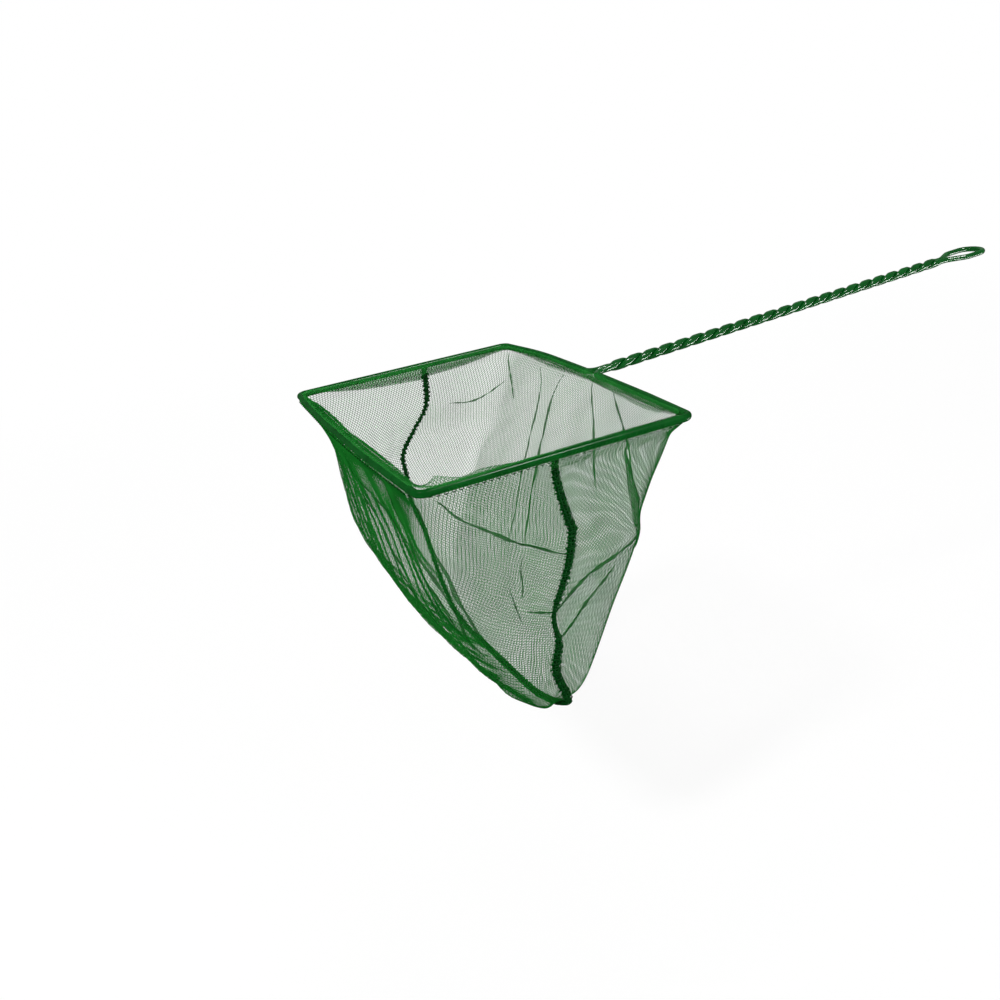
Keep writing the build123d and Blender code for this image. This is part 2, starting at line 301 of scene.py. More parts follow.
def ease(value):
    """From 0 to 1, starting and stopping gently."""
    value = np.clip(value, 0, 1)
    return value * value * (3 - 2 * value)


def smooth_path(points, steps=24):
    """A smooth curve through the given points."""
    points = np.array(points, float)
    ends = np.vstack([2 * points[0] - points[1], points, 2 * points[-1] - points[-2]])
    share = np.linspace(0, 1, steps, endpoint=False)[:, None]
    spans = []
    for a, b, c, d in zip(ends, ends[1:], ends[2:], ends[3:]):
        bend = 2 * a - 5 * b + 4 * c - d
        twist = 3 * b - a - 3 * c + d
        spans.append(b + 0.5 * ((c - a) * share + bend * share**2 + twist * share**3))
    return np.vstack(spans + [points[-1:]])


def even_path(path, count):
    """Points at equal steps along a path."""
    length = np.concatenate([[0], np.cumsum(np.linalg.norm(np.diff(path, axis=0), axis=1))])
    places = np.linspace(0, length[-1], count)
    return np.stack([np.interp(places, length, column) for column in path.T], axis=1)


def rounded_path(corners, radii, steps=12):
    """Straight runs between the corners, joined by arcs of the given radii."""
    corners = np.array(corners, float)
    path = [corners[0]]
    for before, corner, after, radius in zip(corners, corners[1:], corners[2:], radii):
        back = (before - corner) / np.linalg.norm(before - corner)
        on = (after - corner) / np.linalg.norm(after - corner)
        half = math.acos(np.clip(back @ on, -1, 1)) / 2
        bend = math.pi - 2 * half
        if bend < STRAIGHT:
            path.append(corner)
            continue
        centre = corner + (back + on) / np.linalg.norm(back + on) * radius / math.sin(half)
        start = corner + back * radius / math.tan(half) - centre
        end = corner + on * radius / math.tan(half) - centre
        for step in range(steps + 1):
            share = step / steps
            arc = start * math.sin((1 - share) * bend) + end * math.sin(share * bend)
            path.append(centre + arc / math.sin(bend))
    path.append(corners[-1])
    return np.array(path)


def between(pairs, places):
    """A size that changes smoothly through the given pairs of place and size."""
    path = smooth_path(pairs)
    return np.interp(places, path[:, 0], path[:, 1])


def hanging_rows(rail, left_crease, right_crease, corner_radius, belly):
    """Rows of a panel from the rail to the bottom seam, each through both seams and both creases."""
    left = even_path(smooth_path(LEFT_SEAM), BODY_ROWS)
    right = even_path(smooth_path(RIGHT_SEAM), BODY_ROWS)
    first = even_path(smooth_path(left_crease), BODY_ROWS)
    second = even_path(smooth_path(right_crease), BODY_ROWS)
    down = np.linspace(0, 1, BODY_ROWS)
    radius = between(corner_radius, down)
    rows = []
    for row in range(BODY_ROWS):
        swell = belly[0] * (1 - down[row]) + belly[1] * math.sin(math.pi * down[row])
        middle = (first[row] + second[row]) / 2 + (0, swell, 0)
        left_most = CORNER_SHARE * np.linalg.norm(first[row] - left[row])
        right_most = CORNER_SHARE * np.linalg.norm(second[row] - right[row])
        wide = CORNER_SHARE * np.linalg.norm(second[row] - first[row])
        radii = (min(radius[row], left_most), wide, min(radius[row], right_most))
        corners = (left[row], first[row], middle, second[row], right[row])
        rows.append(even_path(rounded_path(corners, radii), COLUMNS))
    rows = np.array(rows)
    bottom = even_path(smooth_path(BOTTOM_SEAM), COLUMNS)
    rows += (bottom - rows[-1]) * down[:, None, None] ** BOTTOM_PULL
    top = np.repeat(even_path(rail, COLUMNS)[None], BODY_ROWS, axis=0)
    top[:, :, 2] = rows[:, :, 2]
    blend = ease(down / TOP_SHARE)[:, None, None]
    return top * (1 - blend) + rows * blend


def way_in(rail):
    """The level direction from each point of a rail towards the inside of the hoop."""
    along = np.gradient(rail, axis=0)
    across = np.stack([-along[:, 1], along[:, 0], 0 * along[:, 0]], axis=1)
    across /= np.linalg.norm(across, axis=1)[:, None]
    inside = np.sign(np.sum(across * -rail, axis=1))
    return across * inside[:, None]


def hem_rows(rail, flap):
    """Rows of the top edge: the free flap inside the hoop, then over the wire to its outer side."""
    inward = way_in(rail)
    share = np.linspace(0, 1, COLUMNS)
    reach = between([(place, size) for place, size, lean in flap], share)
    lean = np.radians(between([(place, lean) for place, size, lean in flap], share))
    rows = []
    for step in range(FLAP_ROWS, 0, -1):
        far = reach * step / FLAP_ROWS
        droop = lean - np.radians(FLAP_CURL) * step
        leave = inward * (np.cos(lean) * WRAP_RADIUS + np.sin(droop) * far)[:, None]
        rise = np.sin(lean) * WRAP_RADIUS - np.cos(droop) * far
        rows.append(rail + leave + rise[:, None] * UP)
    for step in range(WRAP_ROWS):
        angle = lean + (math.pi - lean) * step / WRAP_ROWS
        leave = inward * (np.cos(angle) * WRAP_RADIUS)[:, None]
        rows.append(rail + leave + (np.sin(angle) * WRAP_RADIUS)[:, None] * UP)
    return np.array(rows)


def facing(grid):
    """The outward direction at each point of a panel."""
    normal = np.cross(np.gradient(grid, axis=1), np.gradient(grid, axis=0))
    normal /= np.maximum(np.linalg.norm(normal, axis=2), LEAST_LENGTH)[:, :, None]
    middle = grid.mean(axis=(0, 1))
    middle[1] = 0
    return normal * np.sign(np.sum(normal * (grid - middle), axis=2).mean())


def flat_cut(grid):
    """Where each point lies on the flat cloth: across from the middle, and down from the wire."""
    steps = np.linalg.norm(np.diff(grid, axis=1), axis=2)
    across = np.concatenate([np.zeros((len(grid), 1)), np.cumsum(steps, axis=1)], axis=1)
    across -= across[:, -1:] / 2
    drops = np.linalg.norm(np.diff(grid, axis=0), axis=2).mean(axis=1)
    down = np.concatenate([[0], np.cumsum(drops)])
    return np.stack([across, np.repeat(down[:, None], COLUMNS, axis=1)], axis=2)


def gathers(cut, amount, spacing, slant, start, end):
    """Lengthwise gathers with sharp crests between two depths of the cloth."""
    across, down = cut[:, :, 0], cut[:, :, 1]
    (wide, long), (narrow, short) = GATHER_SWAYS
    drift = wide * np.sin(down / long) + narrow * np.sin(down / short + across / GATHER_SPREAD)
    crest = 1 - np.abs(np.sin(math.pi * (across - slant * down + drift) / spacing)) ** GATHER_EDGE
    return amount * crest * ease((down - start) / GATHER_RISE) * ease((end - down) / GATHER_FALL)


def crumple(cut):
    """Slack in the cloth: shallow waves of several lengths that cross each other."""
    across, down = cut[:, :, 0], cut[:, :, 1]
    size, length, swing, bend = SNAKING_WAVE
    waves = size * np.sin(across / length + swing * np.sin(down / bend))
    for size, length, depth, start in CROSSING_WAVES:
        waves += size * np.sin(across / length + down / depth + start)
    return waves


def panel_mesh(name, rows, cut):
    """A mesh of the rows, with the flat cut as its UV map."""
    height, width = rows.shape[:2]
    index = np.arange(height * width).reshape(height, width)
    corners = (index[:-1, :-1], index[:-1, 1:], index[1:, 1:], index[1:, :-1])
    faces = np.stack([indices.ravel() for indices in corners], axis=1)
    sample = faces[len(faces) // 2]
    corner, beside, _, below = rows.reshape(-1, 3)[sample]
    outward = facing(rows).reshape(-1, 3)[sample[0]]
    if np.cross(beside - corner, below - corner) @ outward < 0:
        faces = faces[:, ::-1]
    mesh = bpy.data.meshes.new(name)
    mesh.from_pydata(in_frame(rows.reshape(-1, 3)).tolist(), [], faces.tolist())
    spots = cut.reshape(-1, 2) / FLAT_UNIT + FLAT_ORIGIN
    layer = mesh.uv_layers.new(name="cut")
    layer.uv.foreach_set("vector", spots[faces.ravel()].astype(np.float32).ravel())
    mesh.shade_smooth()
    return mesh


front_y = -half_length - FRONT_BOW
root_y = half_length + REAR_BOW
front_corners = (
    (-half_width, LEFT_SEAM[0][1], 0), (-half_width, -half_length, 0), (-FRONT_STRAIGHT / 2, front_y, 0),
    (FRONT_STRAIGHT / 2, front_y, 0), (half_width, -half_length, 0), (half_width, RIGHT_SEAM[0][1], 0),
)
rear_left_corners = (
    (-half_width, LEFT_SEAM[0][1], 0), (-half_width, half_length, 0),
    (REAR_BOW_PLACE - half_width, half_length + REAR_LEFT_BOW, 0),
)
rear_right_corners = (
    (half_width, RIGHT_SEAM[0][1], 0), (half_width, half_length, 0),
    (half_width - REAR_BOW_PLACE, half_length + REAR_RIGHT_BOW, 0),
)
front_rail = rounded_path(
    front_corners, (FRONT_LEFT_HEM_RADIUS, SLACK_BEND_RADIUS, SLACK_BEND_RADIUS, FRONT_RIGHT_HEM_RADIUS)
)
rear_rail = rounded_path(
    rear_left_corners + ((0, root_y, 0),) + rear_right_corners[::-1],
    (REAR_LEFT_HEM_RADIUS, SLACK_BEND_RADIUS, SLACK_BEND_RADIUS, SLACK_BEND_RADIUS, REAR_RIGHT_HEM_RADIUS),
)
# Each flap of the hem has rows of the share of the way along it, how far it reaches there and its lean
# from hanging straight down. Each turn is the part of the flap on which the raw edge lies double.
FRONT_FLAP = (
    (0.0, 7.6, 5), (0.1, 5.6, 5), (0.16, 3.2, 8), (0.2, 1.4, 20), (0.25, 2.5, 60), (0.31, 5.0, 88),
    (0.42, 6.4, 92), (0.5, 5.4, 90), (0.6, 6.6, 92), (0.7, 5.2, 95), (0.79, 3.0, 98), (0.815, 2.4, 112),
    (0.838, 6.6, 130), (0.871, 2.4, 122), (0.9, 4.2, 120), (0.93, 3.2, 110), (0.958, 1.0, 100),
    (1.0, 0.7, 95),
)
FRONT_TURN = (
    (0.0, 7.2, 5), (0.1, 5.2, 5), (0.16, 2.8, 8), (0.2, 1.2, 20), (0.25, 1.6, 60), (0.31, 2.6, 88),
    (0.5, 3.0, 90), (0.7, 2.6, 95), (0.79, 2.0, 98), (0.815, 1.0, 112), (0.838, 1.0, 130), (0.9, 0.9, 120),
    (1.0, 0.6, 95),
)
REAR_FLAP = (
    (0.0, 6.4, 5), (0.08, 5.2, 5), (0.15, 2.6, 8), (0.19, 1.6, 8), (0.25, 3.0, 8), (0.32, 5.0, 10),
    (0.4, 4.4, 12), (0.47, 3.8, 15), (0.53, 4.4, 15), (0.6, 5.8, 12), (0.66, 6.2, 10), (0.72, 3.6, 12),
    (0.77, 1.2, 30), (0.82, 0.8, 60), (0.86, 0.7, 80), (1.0, 0.7, 95),
)
REAR_TURN = (
    (0.0, 6.0, 5), (0.08, 4.8, 5), (0.15, 2.2, 8), (0.19, 1.2, 8), (0.32, 2.0, 10), (0.47, 3.0, 15),
    (0.53, 3.6, 15), (0.6, 2.6, 12), (0.66, 3.0, 10), (0.72, 2.0, 12), (0.77, 0.9, 30), (0.82, 0.7, 60),
    (1.0, 0.6, 95),
)
front_body = hanging_rows(
    front_rail, FRONT_LEFT_CREASE, FRONT_RIGHT_CREASE,
    corner_radius=((0, 9), (0.3, 16), (0.7, 14), (1, 4)), belly=(-2, -3),
)
rear_body = hanging_rows(
    rear_rail, REAR_LEFT_CREASE, REAR_RIGHT_CREASE,
    corner_radius=((0, 13), (0.28, 13), (0.4, 5), (0.7, 4), (1, 3)), belly=(4, 0),
)


def front_slack(cut):
    """How far the front panel stands off its plain form: waves, and gathers below its rail."""
    folds = gathers(cut, amount=1.3, spacing=10.0, slant=0.12, start=12.0, end=118.0)
    return FRONT_SLACK * crumple(cut) + folds


def rear_slack(cut):
    """How far the rear panel stands off its plain form: waves in other places than in front."""
    return REAR_SLACK * crumple(cut + REAR_WAVE_SHIFT)


def finished_panel(body, rail, flap, slack):
    """The panel with its slack and its hem, as rows of points and as places on the flat cut."""
    rail = even_path(rail, COLUMNS)
    cut = flat_cut(body)
    hang = ease(cut[:, :, 1] / WIRE_HOLD)
    edge = np.linspace(0, 1, COLUMNS)
    free = ease(np.minimum(edge, 1 - edge) / SIDE_HOLD)[None]
    free = free * ease((cut[-1, 0, 1] - cut[:, :, 1]) / BOTTOM_HOLD)
    outside = -way_in(rail) * WRAP_RADIUS
    body = body + outside[None] * (1 - hang)[:, :, None]
    body = body + facing(body) * (slack(cut) * hang * free)[:, :, None]
    rows = np.concatenate([hem_rows(rail, flap), body])
    spread = np.repeat(cut[:1, :, 0], FLAP_ROWS + WRAP_ROWS, axis=0)
    heights = np.linalg.norm(np.diff(rows[: FLAP_ROWS + WRAP_ROWS + 1], axis=0), axis=2).mean(axis=1)
    above = -np.cumsum(heights[::-1])[::-1]
    hem_cut = np.stack([spread, np.repeat(above[:, None], COLUMNS, axis=1)], axis=2)
    return rows, np.concatenate([hem_cut, cut])


cloth = {
    "front_net": finished_panel(front_body, front_rail, FRONT_FLAP, front_slack),
    "rear_net": finished_panel(rear_body, rear_rail, REAR_FLAP, rear_slack),
}


# Film of the net: fibres between the yarns and the light that the nylon scatters dim the view through
# the bag a little. It is a thin green haze on each panel, thicker where the front panel is gathered.
HAZE_DARK = (0.03, 0.34, 0.05, 1.0)
HAZE_LIGHT = (0.06, 0.46, 0.08, 1.0)
HAZE_ALPHA = 0.12
GATHERED_ALPHA = 0.15
GATHERED_SIDE = (54.0, 68.0)
haze = mottled(
    "net_haze", HAZE_DARK, HAZE_LIGHT,
    patch=8.0, roughness=(0.6, 0.8), grain=0.5, relief=0.05, shine=0.0, alpha=HAZE_ALPHA,
)
gathered_haze = haze.copy()
gathered_haze.name = "gathered_net_haze"
gathered_tree = gathered_haze.node_tree
cut_place = node(gathered_tree, "ShaderNodeUVMap", uv_map="cut").outputs["UV"]
cut_across = node(gathered_tree, "ShaderNodeSeparateXYZ", {"Vector": cut_place}).outputs["X"]
thicker = node(
    gathered_tree,
    "ShaderNodeMapRange",
    {
        "Value": cut_across,
        "From Min": FLAT_ORIGIN[0] + GATHERED_SIDE[0] / FLAT_UNIT,
        "From Max": FLAT_ORIGIN[0] + GATHERED_SIDE[1] / FLAT_UNIT,
        "To Min": GATHERED_ALPHA,
        "To Max": HAZE_ALPHA,
    },
)
gathered_surface = gathered_tree.nodes["Principled BSDF"]
gathered_tree.links.new(thicker.outputs["Result"], gathered_surface.inputs["Alpha"])

panels = {}
for panel, (rows, cut) in cloth.items():
    panels[panel] = placed(panel, panel_mesh(panel, rows, cut))
    panels[panel].data.materials.append(gathered_haze if panel == "front_net" else haze)


# Yarns of the net: two sets of fine green nylon yarn that cross at a slant, knitted into small diamonds.
# They follow the flat cut of each panel, on the flap inside the hoop and from the wire down to the seam.
YARN_DARK = (0.004, 0.12, 0.012, 1.0)
YARN_LIGHT = (0.012, 0.2, 0.022, 1.0)
YARN_PITCH = 1.05
YARN_STEP = 1.35
YARN_RADIUS = 0.11
YARN_SLANT = 54.0
YARN_SPAN = 300.0
YARN_SIDES = 3
YARN_MIDDLE = (0.5, 0.4, 0.0)
INSIDE_ROWS = FLAP_ROWS + 2
yarn = mottled(
    "green_nylon_yarn", YARN_DARK, YARN_LIGHT,
    patch=14.0, roughness=(0.5, 0.65), grain=0.25, relief=0.2, shine=0.03,
)


def new_tree(name, sizes):
    """A node tree with a mesh, named sizes and a finish going in, and a mesh coming out."""
    tree = bpy.data.node_groups.new(name, "GeometryNodeTree")
    tree.interface.new_socket("Geometry", in_out="INPUT", socket_type="NodeSocketGeometry")
    for size in sizes:
        tree.interface.new_socket(size, in_out="INPUT", socket_type="NodeSocketFloat")
    tree.interface.new_socket("Finish", in_out="INPUT", socket_type="NodeSocketMaterial")
    tree.interface.new_socket("Geometry", in_out="OUTPUT", socket_type="NodeSocketGeometry")
    return tree, node(tree, "NodeGroupInput").outputs


def close_tree(tree, geometry, finish):
    """Ends a tree: smooth, real faces in one finish."""
    smooth = node(tree, "GeometryNodeSetShadeSmooth", {"Geometry": geometry})
    real = node(tree, "GeometryNodeRealizeInstances", {"Geometry": smooth.outputs[0]})
    done = node(tree, "GeometryNodeSetMaterial", {"Geometry": real.outputs[0], "Material": finish})
    node(tree, "NodeGroupOutput", {"Geometry": done.outputs[0]})


def math_node(tree, operation, first, second=0.0):
    """The result of one sum on two numbers."""
    return node(tree, "ShaderNodeMath", {0: first, 1: second}, operation=operation).outputs[0]


def vector_node(tree, operation, first, second=(0, 0, 0)):
    """The result of one sum on two vectors."""
    return node(tree, "ShaderNodeVectorMath", {0: first, 1: second}, operation=operation).outputs[0]


def scaled(tree, vector, size):
    """A vector made longer or shorter by a number."""
    return node(tree, "ShaderNodeVectorMath", {0: vector, "Scale": size}, operation="SCALE").outputs[0]


def grown(name, mesh, tree, sizes, finish):
    """Runs a tree on a mesh and keeps the result as a plain piece."""
    piece = placed(name, mesh)
    modifier = piece.modifiers.new(name, "NODES")
    modifier.node_group = tree
    for socket in tree.interface.items_tree:
        if socket.in_out == "INPUT" and socket.name in sizes:
            modifier[socket.identifier] = sizes[socket.name]
        if socket.in_out == "INPUT" and socket.name == "Finish":
            modifier[socket.identifier] = finish
    result = bpy.data.meshes.new_from_object(piece.evaluated_get(bpy.context.evaluated_depsgraph_get()))
    piece.modifiers.remove(modifier)
    piece.data = result
    return piece


yarn_tree, given = new_tree("net_yarns", ("Slant", "Pitch", "Step", "Span", "Radius", "Lift"))
span_start = math_node(yarn_tree, "MULTIPLY", given["Span"], -0.5)
one_line = node(
    yarn_tree,
    "GeometryNodeMeshLine",
    {
        "Count": math_node(yarn_tree, "DIVIDE", given["Span"], given["Step"]),
        "Start Location": node(yarn_tree, "ShaderNodeCombineXYZ", {"X": span_start}).outputs[0],
        "Offset": node(yarn_tree, "ShaderNodeCombineXYZ", {"X": given["Step"]}).outputs[0],
    },
)
side_by_side = node(
    yarn_tree,
    "GeometryNodeMeshLine",
    {
        "Count": math_node(yarn_tree, "DIVIDE", given["Span"], given["Pitch"]),
        "Start Location": node(yarn_tree, "ShaderNodeCombineXYZ", {"Y": span_start}).outputs[0],
        "Offset": node(yarn_tree, "ShaderNodeCombineXYZ", {"Y": given["Pitch"]}).outputs[0],
    },
)
laid_out = node(
    yarn_tree,
    "GeometryNodeInstanceOnPoints",
    {"Points": side_by_side.outputs[0], "Instance": one_line.outputs[0]},
)
lines = node(yarn_tree, "GeometryNodeRealizeInstances", {"Geometry": laid_out.outputs[0]})
slanted = node(
    yarn_tree,
    "ShaderNodeVectorRotate",
    {"Vector": node(yarn_tree, "GeometryNodeInputPosition").outputs[0], "Angle": given["Slant"]},
    rotation_type="Z_AXIS",
)
flat_size = scaled(yarn_tree, slanted.outputs[0], 1 / (FLAT_UNIT * MM))
on_cut = vector_node(yarn_tree, "ADD", flat_size, YARN_MIDDLE)
cut_map = node(yarn_tree, "GeometryNodeInputNamedAttribute", {"Name": "cut"}, data_type="FLOAT_VECTOR")
samples = []
for field in ("GeometryNodeInputPosition", "GeometryNodeInputNormal"):
    sample = node(
        yarn_tree,
        "GeometryNodeSampleUVSurface",
        {"Mesh": given["Geometry"], "UV Map": cut_map.outputs[0], "Sample UV": on_cut},
        data_type="FLOAT_VECTOR",
    )
    yarn_tree.links.new(node(yarn_tree, field).outputs[0], sample.inputs["Value"])
    samples.append(sample)
on_panel, off_panel = samples
outside_cut = node(yarn_tree, "FunctionNodeBooleanMath", {0: on_panel.outputs["Is Valid"]}, operation="NOT")
trimmed = node(
    yarn_tree,
    "GeometryNodeDeleteGeometry",
    {"Geometry": lines.outputs[0], "Selection": outside_cut.outputs[0]},
)
lift = scaled(yarn_tree, off_panel.outputs["Value"], given["Lift"])
lifted = vector_node(yarn_tree, "ADD", on_panel.outputs["Value"], lift)
hung = node(yarn_tree, "GeometryNodeSetPosition", {"Geometry": trimmed.outputs[0], "Position": lifted})
runs = node(yarn_tree, "GeometryNodeMeshToCurve", {"Mesh": hung.outputs[0]})
yarn_section = node(
    yarn_tree, "GeometryNodeCurvePrimitiveCircle", {"Resolution": YARN_SIDES, "Radius": given["Radius"]}
)
tubes = node(
    yarn_tree,
    "GeometryNodeCurveToMesh",
    {"Curve": runs.outputs[0], "Profile Curve": yarn_section.outputs[0], "Fill Caps": True},
)
close_tree(yarn_tree, tubes.outputs[0], given["Finish"])


def knitted(name, mesh):
    """Both sets of yarn over a mesh that carries its flat cut."""
    made = []
    for set_name, side in (("right", 1), ("left", -1)):
        sizes = {
            "Slant": math.radians(side * YARN_SLANT),
            "Pitch": YARN_PITCH * MM,
            "Step": YARN_STEP * MM,
            "Span": YARN_SPAN * MM,
            "Radius": YARN_RADIUS * MM,
            "Lift": side * YARN_RADIUS * MM,
        }
        piece = grown(f"{name}_yarns_{set_name}", mesh, yarn_tree, sizes, yarn)
        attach(piece, "root")
        made.append(piece)
    return made


sheet_pieces = {}
for panel, (rows, cut) in cloth.items():
    hung_rows = slice(FLAP_ROWS + WRAP_ROWS - 1, None)
    sheet_pieces[panel] = knitted(panel, panel_mesh(f"{panel}_below_wire", rows[hung_rows], cut[hung_rows]))
    flap_mesh = panel_mesh(f"{panel}_inside_wire", rows[:INSIDE_ROWS], cut[:INSIDE_ROWS])
    sheet_pieces[panel] += knitted(panel.replace("net", "flap"), flap_mesh)


# Hem: the net is drawn tight and smooth round the wire in several turns, and its raw edge is turned
# under, so it lies double on the flap inside. A row of short dark stitches holds it just below the wire.
CASING_RADIUS = 1.42
CASING_DARK = (0.001, 0.062, 0.0066, 1.0)
CASING_LIGHT = (0.0025, 0.105, 0.0115, 1.0)
WIRE_CORNER_RADIUS = 3.5
CASING_END = 5.0
CASING_SIDES = 20
TURN_LIFT = 0.4
TURN_SHIFT = (0.4, 0.3)
TURN_ALPHA = 0.5
TURN_DARK = (0.025, 0.28, 0.045, 1.0)
TURN_LIGHT = (0.05, 0.4, 0.07, 1.0)
STITCH_DOWN = 1.3
STITCH_PITCH = 2.6
STITCH_LENGTH = 1.7
STITCH_RADIUS = 0.22
STITCH_SEGMENTS = 6
STITCH_RINGS = 4
STITCH_DARK = (0.001, 0.014, 0.003, 1.0)
STITCH_LIGHT = (0.003, 0.04, 0.008, 1.0)
wrapped = mottled(
    "net_drawn_round_wire", CASING_DARK, CASING_LIGHT,
    patch=5.0, roughness=(0.14, 0.2), grain=0.45, relief=0.04, shine=0.05,
)
turned = mottled(
    "doubled_net_haze", TURN_DARK, TURN_LIGHT,
    patch=8.0, roughness=(0.6, 0.8), grain=0.5, relief=0.05, shine=0.0, alpha=TURN_ALPHA,
)
stitching = mottled(
    "dark_hem_stitch", STITCH_DARK, STITCH_LIGHT,
    patch=1.6, roughness=(0.5, 0.7), grain=0.2, relief=0.3, shine=0.02,
)
hem_turns = {
    "front_net": finished_panel(front_body, front_rail, FRONT_TURN, crumple),
    "rear_net": finished_panel(rear_body, rear_rail, REAR_TURN, crumple),
}


def on_cloth(panel, spots, lift=0.0):
    """Places on a hanging panel for spots on its flat cut, raised off it by lift."""
    rows, cut = cloth[panel]
    raised = rows + facing(rows) * lift
    height = np.interp(spots[:, 1], cut[:, 0, 1], np.arange(len(rows)))
    places = []
    for spot, level in zip(spots, height):
        upper = min(int(level), len(rows) - 2)
        pair = []
        for row in (upper, upper + 1):
            column = np.interp(spot[0], cut[row, :, 0], np.arange(COLUMNS))
            left = min(int(column), COLUMNS - 2)
            pair.append(raised[row, left] + (raised[row, left + 1] - raised[row, left]) * (column - left))
        places.append(pair[0] + (pair[1] - pair[0]) * (level - upper))
    return np.array(places)


def path_mesh(name, points, **kept):
    """An edge path that keeps a number or a direction at each point."""
    mesh = bpy.data.meshes.new(name)
    count = len(points)
    mesh.from_pydata(in_frame(points).tolist(), [(k, k + 1) for k in range(count - 1)], [])
    for attribute, values in kept.items():
        values = np.asarray(values, np.float32)
        kind, field = ("FLOAT", "value") if values.ndim == 1 else ("FLOAT_VECTOR", "vector")
        mesh.attributes.new(attribute, kind, "POINT").data.foreach_set(field, values.ravel())
    return mesh


def kept_at_points(tree, name, kind):
    """What a path keeps at each of its points under the given name."""
    return node(tree, "GeometryNodeInputNamedAttribute", {"Name": name}, data_type=kind).outputs[0]


def tube_tree(name, sides):
    """A tree that draws a tube along a path, wider or narrower by the girth at each point."""
    tree, given = new_tree(name, ("Radius",))
    line = node(tree, "GeometryNodeMeshToCurve", {"Mesh": given["Geometry"]})
    section_sizes = {"Resolution": sides, "Radius": given["Radius"]}
    section = node(tree, "GeometryNodeCurvePrimitiveCircle", section_sizes)
    tube = node(
        tree,
        "GeometryNodeCurveToMesh",
        {
            "Curve": line.outputs[0],
            "Profile Curve": section.outputs[0],
            "Scale": kept_at_points(tree, "girth", "FLOAT"),
            "Fill Caps": True,
        },
    )
    close_tree(tree, tube.outputs[0], given["Finish"])
    return tree


stitch_tree, given = new_tree("hem_stitches", ("Pitch", "Length", "Radius"))
stitch_line = node(stitch_tree, "GeometryNodeMeshToCurve", {"Mesh": given["Geometry"]})
stitch_spots = node(
    stitch_tree,
    "GeometryNodeCurveToPoints",
    {"Curve": stitch_line.outputs[0], "Length": given["Pitch"]},
    mode="LENGTH",
)
one_stitch = node(
    stitch_tree,
    "GeometryNodeMeshUVSphere",
    {"Segments": STITCH_SEGMENTS, "Rings": STITCH_RINGS, "Radius": 1.0},
)
along_line = node(
    stitch_tree, "FunctionNodeAlignRotationToVector", {"Vector": stitch_spots.outputs["Tangent"]}, axis="X"
)
half_stitch = math_node(stitch_tree, "MULTIPLY", given["Length"], 0.5)
stitch_size = node(
    stitch_tree, "ShaderNodeCombineXYZ", {"X": half_stitch, "Y": given["Radius"], "Z": given["Radius"]}
)
sewn = node(
    stitch_tree,
    "GeometryNodeInstanceOnPoints",
    {
        "Points": stitch_spots.outputs["Points"],
        "Instance": one_stitch.outputs["Mesh"],
        "Rotation": along_line.outputs[0],
        "Scale": stitch_size.outputs[0],
    },
)
close_tree(stitch_tree, sewn.outputs[0], given["Finish"])

casing_tree = tube_tree("hem_casing", CASING_SIDES)
casing_routes = {
    "front": front_corners,
    "rear_left": rear_left_corners + ((-CASING_END, root_y, 0),),
    "rear_right": rear_right_corners + ((CASING_END, root_y, 0),),
}
for place, route in casing_routes.items():
    bends = [SLACK_BEND_RADIUS] * (len(route) - 2)
    bends[0] = WIRE_CORNER_RADIUS
    if place == "front":
        bends[-1] = WIRE_CORNER_RADIUS
    name = f"{place}_hem_casing"
    path = rounded_path(route, bends)
    mesh = path_mesh(name, path, girth=np.ones(len(path)))
    piece = grown(name, mesh, casing_tree, {"Radius": CASING_RADIUS * MM}, wrapped)
    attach(piece, "root")
    sheet_pieces["front_net" if place == "front" else "rear_net"].append(piece)

for panel, (rows, cut) in cloth.items():
    name = panel.replace("net", "hem_turn")
    doubled, doubled_cut = hem_turns[panel]
    doubled = (doubled + facing(doubled) * TURN_LIFT)[:INSIDE_ROWS]
    turn_piece = placed(name, panel_mesh(name, doubled, doubled_cut[:INSIDE_ROWS] + TURN_SHIFT))
    turn_piece.data.materials.append(turned)
    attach(turn_piece, "root")
    sheet_pieces[panel] += [turn_piece] + knitted(name, turn_piece.data)
    edge = cut[FLAP_ROWS + WRAP_ROWS, :, 0]
    line = np.stack([edge, np.full(COLUMNS, STITCH_DOWN)], axis=1)
    sizes = {"Pitch": STITCH_PITCH * MM, "Length": STITCH_LENGTH * MM, "Radius": STITCH_RADIUS * MM}
    name = panel.replace("net", "hem_stitches")
    piece = grown(name, path_mesh(name, on_cloth(panel, line, TURN_LIFT)), stitch_tree, sizes, stitching)
    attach(piece, "root")


